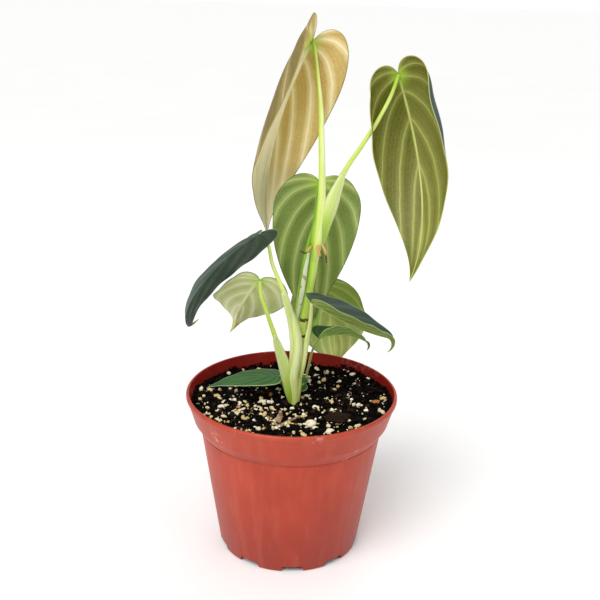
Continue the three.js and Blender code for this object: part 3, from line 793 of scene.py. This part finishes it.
sheath_skin = finish("sheath_skin", sheath_finish, Subsurface_Weight=0.2, Subsurface_Scale=0.003,
                     Subsurface_Radius=(0.7, 1, 0.3))
for name, (stalk, rows) in SHEATHS.items():
    piece = link(name, sheath_mesh(name, rows), sheath_skin)
    for face in piece.data.polygons:
        face.use_smooth = True
    thick = piece.modifiers.new("thickness", "SOLIDIFY")
    thick.thickness = SHEATH_THICKNESS * MM
    thick.offset = 0
    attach(piece, "root")
    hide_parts(stalk)

# ------------------------------------------------------------------ dried sheath and aerial roots
# A papery strip of the newest leaf's sheath has dried against the stem, and three short aerial
# roots, orange-brown with thin dark tips, grow out round the upper node. The feeding roots in
# the mix keep the shape they have in the frame.
FEEDING_ROOTS = 5
DRIED = {
    "cataphyll_strip": (.3, [(9.4, 1, 221, .9, 0, 0), (7.4, -.6, 209, 1.5, .2, .2),
                             (5.6, -.8, 194, 1.6, .4, .4), (3.6, -.6, 180, 1.1, .6, .6),
                             (2.8, 0, 172, .5, 1, 1)]),
    "aerial_root_1": (1, [(11, -1, 226, 1.1, 0, 0), (9.4, -3.6, 225.2, 1, .1, .1),
                          (6.8, -5, 222.4, .6, .8, .8), (3.8, -6, 224.4, .4, 1, 1)]),
    "aerial_root_2": (1, [(15.2, -1.4, 228, 1.1, 0, 0), (16.2, -4.6, 223.6, 1.05, .1, .1),
                          (17.2, -5.4, 220.8, .7, .5, .5), (18.2, -6, 219, .35, 1, 1)]),
    "aerial_root_3": (1, [(18, 0, 228, 1.1, 0, 0), (20.4, -2.6, 223.6, 1.05, .1, .1),
                          (21.2, -3.4, 220, .6, .7, .7), (21.7, -4, 215.6, .35, 1, 1)]),
}


def root_finish(place):
    warts = grain(place, 700, 3)
    dark = step(read(place, "pale") + (warts - 0.5) * 0.5, 0.35, 0.8)
    body = blend(warts, paint("b08a44"), paint("cda766"))
    body = blend(dark, body, paint("3a2416"))
    return {"Base Color": body, "Roughness": 0.6 + 0.2 * warts,
            "Normal": bump(warts, 0.6, 0.0004)}


def husk_finish(place):
    fibres = grain(flat_of(place), 60, 4, (1, 0.06, 1))
    blotch = grain(place, 230, 3)
    body = blend(fibres, paint("a9b27a"), paint("dfe3c2"))
    body = blend(step(blotch, 0.57, 0.68) * 0.7, body, paint("6f4a24"))
    return {"Base Color": body, "Roughness": 0.55 + 0.25 * fibres,
            "Normal": bump(fibres, 0.6, 0.0005)}


root_bark = finish("root_bark", root_finish)
dried_sheath = finish("dried_sheath", husk_finish)
for name, (flat, rows) in DRIED.items():
    aerial = name.startswith("aerial")
    piece = link(f"{name}_piece", stalk_mesh(name, flat, rows, 14, 5),
                 root_bark if aerial else dried_sheath)
    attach(piece, "root")
    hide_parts(name)
for i in range(FEEDING_ROOTS):
    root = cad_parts[f"root_{i + 1}"]
    root.data.materials.clear()
    root.data.materials.append(finish(f"feeding_root_{i + 1}", lambda place: {
        "Base Color": blend(grain(place, 300), paint("a8925c"), paint("d8c596")),
        "Roughness": 0.6 + 0.2 * grain(place, 500)}))

# ------------------------------------------------------------------ leaf blades
# Ten heart-shaped blades, each a soft sheet half a millimetre thick: velvety dark green above,
# paler and matte below, quilted between pale veins that fan out from where the stalk joins.
# A blade is a flat heart laid over a bent midrib. "at" is where the stalk joins, "aim" the way
# the tip points there, "face" the way the upper side looks; lengths in millimetres, turns in
# degrees over the midrib. Each half has its own fold, and a curl that rolls its margin.
BLADES = {
    "upper_left": dict(at=(7.2, 8, 360), aim=(-.44, .1, -.89), face=(.34, .94, -.06), length=155,
                       width=66, lobes=(17, 16), bend=-35, sway=-17, twist=0, lobe_bend=-15,
                       fold=(-75, -12), fold_tip=2, curl=(-115, 38), late=2.4, finish="tan"),
    "upper_right": dict(at=(65, 8, 341.4), aim=(.35, .13, -.93), face=(.13, .97, .2), length=150,
                        width=72, lobes=(13, 14), bend=80, sway=2, twist=30, lobe_bend=10,
                        fold=(-46, -30), fold_tip=30, curl=(-60, -105), late=3, finish="olive"),
    "middle": dict(at=(15.4, 16, 267.4), aim=(-.1, .1, -.99), face=(-.18, .98, .12), length=118,
                   width=64, lobes=(7, 7), bend=-8, sway=-9, twist=7, lobe_bend=-17, fold=(-14, -26),
                   fold_tip=4, curl=(0, -3), finish="leaf"),
    "left": dict(at=(-24, -27, 239.5), aim=(-.82, -.35, -.46), face=(-.06, -.75, .66), length=130,
                 width=57, lobes=(14, 6), bend=110, sway=8, twist=-22, lobe_bend=-6, fold=(-90, -55),
                 fold_tip=10, curl=(0, -45), hook=60, hook_from=.9, finish="dark"),
    "lower_left": dict(at=(-24, -3, 202), aim=(-.48, .42, -.77), face=(.25, .91, .34), length=83,
                       width=52, lobes=(4.5, 8), bend=-40, sway=-13, twist=14, lobe_bend=-10,
                       fold=(-20, 10), fold_tip=40, curl=(-75, -25), hook=80, hook_from=.88,
                       finish="pale"),
    # The back right blade takes the back finish, whose lighter underside is painted light on a shaded
    # leaf.
    "back_right": dict(at=(19, 54, 182.5), aim=(.27, .47, -.84), face=(-.12, .9, .42), length=108,
                       width=68, lobes=(11, 9), bend=-9, sway=11, twist=-20, lobe_bend=5,
                       fold=(-18, -24), fold_tip=-14, curl=(-55, -35), finish="back"),
    "right": dict(at=(12, -23, 192.8), aim=(.8, .14, -.59), face=(.42, .57, .71), length=78, width=49,
                  lobes=(4.5, 4), bend=-23, sway=8, twist=21, lobe_bend=0, fold=(33, -2), fold_tip=34,
                  curl=(-5, -20), hook=125, hook_from=.84, finish="dark"),
    "small_right": dict(at=(19, 4, 157), aim=(.84, .42, .3), face=(-.5, .34, .78), length=43, width=38,
                        lobes=(1, 2), bend=78, sway=-30, twist=-26, fold=(45, 10), fold_tip=-18,
                        curl=(-18, -2), hook=65, hook_from=.8, finish="bright"),
    "small_left": dict(at=(-9.8, 6, 126.7), aim=(-1, -.06, .02), face=(.03, -.23, .97), length=53,
                       width=22, lobes=(2.4, 2.4), bend=26, sway=1, twist=-10, fold=(-6, -10),
                       fold_tip=8, curl=(12, -9), finish="bright"),
    "juvenile": dict(at=(9.2, 21, 114.6), aim=(-1, .05, .1), face=(0, -.45, .9), length=21, width=15,
                     lobes=(3, 3), bend=20, sway=0, twist=0, fold=(-10, -10), fold_tip=0, curl=(0, 0),
                     finish="bright"),
}
VEINS = 6             # main veins in each half
SLANT = 0.27          # how far a vein slants towards the tip, as a share of the outline
LOBE_SHARE = 0.42     # share of the outline that runs round the lobe
LOBE_STEPS = 12       # steps of the midrib's line that run back over the lobes
CURL_STEPS = 16       # steps from the midrib to the margin
BLADE_THICKNESS = 0.45


def bezier(a, b, c, d, t):
    return a * (1 - t) ** 3 + 3 * b * (1 - t) ** 2 * t + 3 * c * (1 - t) * t ** 2 + d * t ** 3


def outline(leaf, lobe, s):
    """Half of the heart, from the sinus (s = 0) round the lobe and down to the tip (s = 1)."""
    half, length = leaf["width"] / 2, leaf["length"]
    widest = 0.14 * length
    lower = length - widest
    t = np.clip(s / LOBE_SHARE, 0, 1)
    lobe_x = bezier(0.3, 0.08 * half, half, half, t)
    lobe_y = bezier(0, -1.42 * lobe, -1.42 * lobe, widest, t)
    t = np.clip((s - LOBE_SHARE) / (1 - LOBE_SHARE), 0, 1)
    tip_x = bezier(half, half, 0.2 * half, 0.3, t)
    tip_y = bezier(widest, widest + 0.42 * lower, widest + 0.74 * lower, length, t)
    return np.where(s < LOBE_SHARE, lobe_x, tip_x), np.where(s < LOBE_SHARE, lobe_y, tip_y)


def flat_place(leaf, lobe, s, across):
    """A place on the flat heart; a side vein is a line of one s, from midrib to margin."""
    edge_x, edge_y = outline(leaf, lobe, s)
    midrib = leaf["length"] * s ** 2.6
    rest = 1 - across
    middle = midrib + 0.3 * (edge_y - midrib)
    return (across * rest * edge_x + across ** 2 * edge_x,
            rest ** 2 * midrib + 2 * across * rest * middle + across ** 2 * edge_y)


def midrib_frames(leaf, steps=48):
    """The bent midrib: how far along it is, with the point, the side and the up direction."""
    along = Vector(leaf["aim"]).normalized()
    up = Vector(leaf["face"])
    up = (up - along * up.dot(along)).normalized()
    hook, hook_from = leaf.get("hook", 0), leaf.get("hook_from", 1)

    def grow(state, length, turns):
        y, point, arms = state
        for arm, degrees in turns:
            turn = Matrix.Rotation(math.radians(degrees), 3, arms[arm])
            arms = [turn @ a for a in arms]
        return y + length, point + arms[0] * length, arms

    start = (0, Vector(leaf["at"]), [along, along.cross(up), up])
    states = [start]
    for i in range(steps):
        hooking = hook / (1 - hook_from) if (i + 0.5) / steps > hook_from else 0
        turns = [(1, -(leaf["bend"] + hooking) / steps), (2, leaf["sway"] / steps),
                 (0, leaf["twist"] / steps)]
        states.append(grow(states[-1], leaf["length"] / steps, turns))
    for i in range(LOBE_STEPS):
        reach = -0.115 * max(leaf["lobes"]) / 1.2
        states.insert(0, grow(states[0], reach, [(1, leaf.get("lobe_bend", 0) / LOBE_STEPS)]))
    return (np.array([state[0] for state in states]),
            np.array([[*state[1], *state[2][1], *state[2][2]] for state in states]))


def blade_mesh(name, leaf):
    distances, frames = midrib_frames(leaf)
    length, half = leaf["length"], leaf["width"] / 2
    fine = min(1, half / 20)

    def lay(u, v):
        sign = np.where(u < 0.5, -1, 1)
        hand = (sign > 0).astype(int)
        across = np.abs(2 * u - 1) ** 1.35
        s = v ** 0.9
        lobe = np.array(leaf["lobes"])[hand]
        x, y = flat_place(leaf, lobe, s, across)
        ahead = np.stack(flat_place(leaf, lobe, np.clip(s + 0.004, 0, 1), across))
        behind = np.stack(flat_place(leaf, lobe, np.clip(s - 0.004, 0, 1), across))
        outer = np.stack(flat_place(leaf, lobe, s, np.clip(across + 0.01, 0, 1)))
        inner = np.stack(flat_place(leaf, lobe, s, np.clip(across - 0.01, 0, 1)))
        by_s = (ahead - behind) / (np.clip(s + 0.004, 0, 1) - np.clip(s - 0.004, 0, 1))
        by_across = outer - inner
        by_across = by_across / (np.clip(across + 0.01, 0, 1) - np.clip(across - 0.01, 0, 1))
        count = VEINS * (s - SLANT * across ** 1.2) + 0.8
        turning = VEINS * by_across + VEINS * SLANT * 1.2 * across ** 0.2 * by_s
        gap = np.abs(by_s[0] * by_across[1] - by_s[1] * by_across[0])
        gap = gap / np.maximum(np.hypot(*turning), 1e-6)
        edge_x, edge_y = outline(leaf, lobe, s)
        edge = np.hypot(edge_x - x, edge_y - y)

        beside = np.stack([np.interp(y, distances, column) for column in frames.T], 1)
        point, side, up = beside[:, :3], beside[:, 3:6], beside[:, 6:]
        fold = np.array(leaf["fold"])[hand] + leaf["fold_tip"] * np.clip(y / length, 0, 1)
        curl = np.array(leaf["curl"])[hand]
        out, rise = np.zeros_like(x), np.zeros_like(x)
        for k in range(CURL_STEPS):
            reach = np.clip((k + 0.5) / CURL_STEPS * x / half, 0, 1) ** leaf.get("late", 2)
            slope = np.radians(fold + curl * reach)
            out += np.cos(slope) * x / CURL_STEPS
            rise += np.sin(slope) * x / CURL_STEPS
        slope = np.radians(fold + curl * np.clip(x / half, 0, 1) ** leaf.get("late", 2))
        tilt = np.where(x > 0.6, slope, 0)
        quilt = np.sin(math.pi * count) ** 2 * np.clip(gap / 8, 0, 1) * 0.5
        quilt *= np.clip(x / 2.5, 0, 1) * np.clip(edge / 5, 0, 1)
        flatness = max(math.cos(math.radians(sum(leaf["fold"]) / 2)), 0.2)
        keel = 0.5 * flatness * np.exp(-(x / 1.3) ** 2) * (1 - 0.75 * np.clip(y / length, 0, 1))
        wave = 0.35 * np.sin(y / length * 26 + sign) * across ** 4 * fine
        lift = ((quilt - keel) * fine + wave) * (1 - np.clip(y / length, 0, 1) ** 12)
        points = point + side * (sign * (out - np.sin(tilt) * lift))[:, None]
        points = points + up * (rise + np.cos(tilt) * lift)[:, None]
        values = {"vein": count, "gap": gap, "rib": x, "edge": edge, "run": y / length,
                  "hand": sign.astype(float)}
        return points, values, np.stack([x * sign, y], 1)

    mesh = draped(name, 84, 110, lay)
    low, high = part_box(f"blade_{name}")
    corners = np.array([vert.co for vert in mesh.vertices])
    centre = Vector((corners.max(0) + corners.min(0)) / 2)
    mesh.transform(Matrix.Translation((low + high) / 2 - centre))
    for face in mesh.polygons:
        face.use_smooth = True
    return mesh


def vein_masks(place):
    """The main veins, a glow beside them, fine veins between and the midrib, each 0 to 1."""
    vein, gap, rib, run = (read(place, name) for name in ("vein", "gap", "rib", "run"))
    vein = vein + (grain(flat_of(place), 9, 2) - 0.5) * 0.12
    distance = ((vein + 0.5).maths("FRACT") - 0.5).maths("ABSOLUTE") * gap
    clear = step(gap, 0.7, 2.4)
    clear = clear * step(run, 0.97, 0.72)
    main = (1 - step(distance, 0.0, 1.35 - 0.5 * step(rib, 3, 26))) * clear
    halo = (1 - step(distance, 0.2, 4.2)) * clear
    minor = ((vein * 5).maths("FRACT") - 0.5).maths("ABSOLUTE") * 2
    minor = step(minor, 0.5, 1) * step(gap, 4, 9)
    midrib = 1 - step(rib / (1.35 - 0.95 * run), 0.4, 1.2)
    return main, halo, minor, midrib


def joint_glow(pattern, reach):
    """1 where the stalk joins, fading out over a reach in tenths of a metre."""
    return step(pattern.node("VectorMath", {"operation": "LENGTH"}, {0: pattern}, 1), reach, 0.01)


def under_finish(lamina, shadow, vein, margin, glow=0.3, rib=None, pale_and_painted_light_half=0, tip=None, joint=0.7):
    """The underside: lamina and a darker shadow colour, pale veins and a thin margin line. Below
    the joint, the half on the side of pale_and_painted_light_half's sign is paler by that share: the
    half's own paler colour together with painted light where that half is turned from the lamps. The
    leaf's end takes the tip colour, partly painted light on the tan leaf's shaded end, and joint is
    how bright a green shows where the stalk joins."""
    def sockets(place):
        pattern = flat_of(place)
        main, halo, minor, midrib = vein_masks(place)
        cloudy = grain(pattern, 7, 4)
        mottle = grain(pattern, 60, 4)
        cells = pattern.node("TexVoronoi", {"feature": "DISTANCE_TO_EDGE"},
                             {"Vector": pattern, "Scale": 45})
        net = 1 - step(cells, 0.02, 0.14)
        edge, hand, run = (read(place, name) for name in ("edge", "hand", "run"))
        body = blend(cloudy, paint(shadow), paint(lamina))
        body = blend(step(mottle, 0.45, 0.7) * 0.22, body, paint(shadow))
        body = blend(step(edge, 10, 0.5) * 0.35, body, paint(shadow))
        # On the tan leaf the cream end colour is partly painted light, lifting its shaded end; the pale
        # leaf's yellow end is its own colour.
        if tip:
            body = blend(step(run, 0.45, 1) * 0.75, body, paint(tip))
        # Painted light, over the half's own paler colour: one half below the joint turns paler.
        if pale_and_painted_light_half:
            half = step(hand * math.copysign(1, pale_and_painted_light_half), -0.6, 0.6) * step(run, -0.04, 0.08)
            body = blend(half * abs(pale_and_painted_light_half), body, paint(tip or vein))
        body = blend(halo * glow, body, paint(vein))
        body = blend(minor * 0.06 + net * 0.1, body, paint(vein))
        body = blend((main * 0.7).maths("MAXIMUM", midrib), body,
                     blend(midrib, paint(vein), paint(rib or vein)))
        body = blend(joint_glow(pattern, 0.11) * joint, body, paint("a4c840"))
        spots = pattern.node("TexVoronoi", {}, {"Vector": pattern, "Scale": 11})
        spot = step(spots, 0.055, 0.035) * step(grain(pattern, 4, 1), 0.56, 0.6)
        body = blend(spot * 0.8, body, paint("4b3a1c"))
        body = blend(1 - step(edge, 0.15, 0.75), body, paint(margin))
        return {"Base Color": body, "Roughness": 0.46 + 0.12 * cloudy - 0.08 * main,
                "Normal": bump(main * 0.8 + minor * 0.15 + net * 0.25 + mottle * 0.3, 0.45, 0.0004)}
    return sockets


def upper_finish(lamina, shadow, vein, margin, strength=0.3, inner=None):
    """The upper side: velvety, with faint paler veins sunk between the quilted panels. From 8 to
    16 mm in from the margin it turns to the inner colour, where there is one."""
    def sockets(place):
        pattern = flat_of(place)
        main, halo, minor, midrib = vein_masks(place)
        cloudy = grain(pattern, 9, 4)
        nap = grain(pattern, 260, 3)
        streaks = grain(pattern, 30, 3, (1, 0.25, 1))
        edge = read(place, "edge")
        body = blend(cloudy, paint(shadow), paint(lamina))
        if inner:
            body = blend(step(edge, 8, 16) * 0.85, body, paint(inner))
        body = blend(halo * 0.22 + streaks * 0.12, body, paint(vein))
        body = blend(minor * 0.05 + nap * 0.1, body, paint(vein))
        body = blend(main.maths("MAXIMUM", midrib) * strength, body, paint(vein))
        body = blend(1 - step(edge, 0.15, 0.8), body, paint(margin))
        return {"Base Color": body, "Roughness": 0.5 + 0.2 * nap,
                "Normal": bump(nap * 0.3 - main * 0.6 - minor * 0.2, 0.5, 0.0004)}
    return sockets


VELVET = dict(Sheen_Weight=0.1, Sheen_Roughness=0.45, Sheen_Tint=(0.6, 0.75, 0.6, 1))
THIN = dict(Subsurface_Weight=0.3, Subsurface_Scale=0.003, Subsurface_Radius=(0.8, 1, 0.5),
            Specular_IOR_Level=0.35)
UPPER_SKINS = {"tan": THIN, "bright": {}}      # the other finishes are velvety above
# Each finish has the lamina, shadow, vein and margin colours above, what else sets that side
# apart, and then the same for below.
LEAF_PAINTS = {
    # tan: the paler left half below the joint and the cream end are partly painted light on parts turned
    # from the lamps.
    "tan": (("6d5b22", "584718", "ccbb88", "ad9554"), dict(strength=.5, inner="927a3c"),
            ("bf9f5c", "a58647", "eadcb2", "8a6a2c"),
            dict(glow=.5, rib="f6f2d0", pale_and_painted_light_half=-.85, tip="fcf2ce")),
    # olive: the slightly paler right half is painted light.
    "olive": (("2c403a", "22332e", "4a6258", "9aa57a"), {},
              ("645b1b", "4e4c14", "a2a45a", "aeb070"), dict(rib="b6ba6e", pale_and_painted_light_half=.12)),
    "leaf": (("2e4c36", "243d2a", "5b7c50", "7f9a70"), {},
             ("76863e", "5b6c30", "b8c37c", "4c6a30"), dict(glow=.45, rib="bcc87c")),
    # back is leaf with a lighter underside: painted light on a leaf that stands in the shade of the
    # others.
    "back": (("2e4c36", "243d2a", "5b7c50", "7f9a70"), {},
             ("a4b65a", "879a44", "ced78c", "5c7a38"), dict(glow=.35, rib="ccd880")),
    "pale": (("3f5f3c", "324d34", "6c8c5c", "8ca377"), {},
             ("c4c98c", "aab075", "e6e9bc", "5c7a3c"), dict(glow=.45, rib="dbe0a2", tip="cdb94a")),
    "dark": (("26382a", "19271d", "465e4a", "8a9a7c"), {},
             ("74823c", "5f6e32", "98a762", "8a9a62"), dict(rib="a6b56c", joint=.05)),
    "bright": (("1d4517", "13300e", "4f8040", "9fba84"), {},
               ("7a944a", "647e3c", "9cb46a", "9fba84"), dict(rib="b0c27e")),
}
LEAF_SIDES = {}
for tone, (above, above_apart, below, below_apart) in LEAF_PAINTS.items():
    LEAF_SIDES[tone] = (
        finish(f"{tone}_upper", upper_finish(*above, **above_apart), **UPPER_SKINS.get(tone, VELVET)),
        finish(f"{tone}_under", under_finish(*below, **below_apart), **THIN))
for name, leaf in BLADES.items():
    piece = link(f"leaf_{name}", blade_mesh(name, leaf), *LEAF_SIDES[leaf["finish"]])
    thick = piece.modifiers.new("thickness", "SOLIDIFY")
    thick.thickness = BLADE_THICKNESS * MM
    thick.offset = 0
    thick.material_offset = 1
    thick.material_offset_rim = 1
    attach(piece, "root")
    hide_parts(f"blade_{name}")

# ------------------------------------------------------------------ litter on the mix
# A curled dry twig and a standing husk from an old leaf sheath, brown and papery, with a few
# pale root fibres. They lie loose on the mix.
LITTER = {
    "dry_twig": (1, [(-12, -32, 107.4, .9, .2, .2), (-8, -37, 107.5, 1.2, .3, .3),
                     (-2.6, -32, 108.2, 1.1, .3, .3), (6, -24, 109, .6, .5, .5)]),
    "dry_husk": (.35, [(-9, -33.5, 109.6, 2.2, .2, .2), (-7.6, -32.6, 113, 1.9, .2, .2),
                       (-7, -32, 117, .8, .4, .4)]),
}


def litter_finish(place):
    fibres = grain(flat_of(place), 60, 4, (1, 0.08, 1))
    blotch = grain(place, 260, 3)
    body = blend(fibres, paint("8a6b47"), paint("cdb28a"))
    body = blend(step(blotch, 0.5, 0.65) * 0.7, body, paint("5a3d26"))
    return {"Base Color": body, "Roughness": 0.6 + 0.25 * fibres,
            "Normal": bump(fibres + blotch * 0.4, 0.8, 0.0008)}


dry_litter = finish("dry_litter", litter_finish)
for name, (flat, rows) in LITTER.items():
    piece = link(f"{name}_piece", stalk_mesh(name, flat, rows, 14, 4), dry_litter)
    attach(piece, "root")
    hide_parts(name)


def fibre_rows(x, y, reach, turn, curl):
    """The points of one fine root fibre that lies over the mix in a loose curve."""
    rows = []
    for i in range(7):
        rows.append((x, y, mix_height(x, y) + 1.1 + 0.8 * math.sin(i * 1.4 + turn), 0.17, .8, .8))
        x += reach / 6 * math.cos(turn + curl * i)
        y += reach / 6 * math.sin(turn + curl * i)
    return rows


def fibre_finish(place):
    tone = grain(place, 200, 3)
    return {"Base Color": blend(tone, paint("b09468"), paint("e3d8bd")), "Roughness": 0.6 + 0.3 * tone}


pale_fibre = finish("pale_root_fibre", fibre_finish)
# Each is where it starts, how long it is, which way it sets off and how it turns.
for number, row in enumerate([(40, 8, 13, 0.5, 0.35), (44, 4, 10, 2.4, -0.4), (-24, -8, 9, 3.3, 0.3),
                              (30, -36, 12, 0.2, 0.3), (-34, -22, 10, 1.1, -0.4), (20, 26, 9, 0.2, 0.3)]):
    piece = link(f"root_fibre_{number + 1}", stalk_mesh("fibre", 1, fibre_rows(*row), 6, 0), pale_fibre)
    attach(piece, "root")

for shape in crumb_shapes:
    bpy.data.meshes.remove(shape)
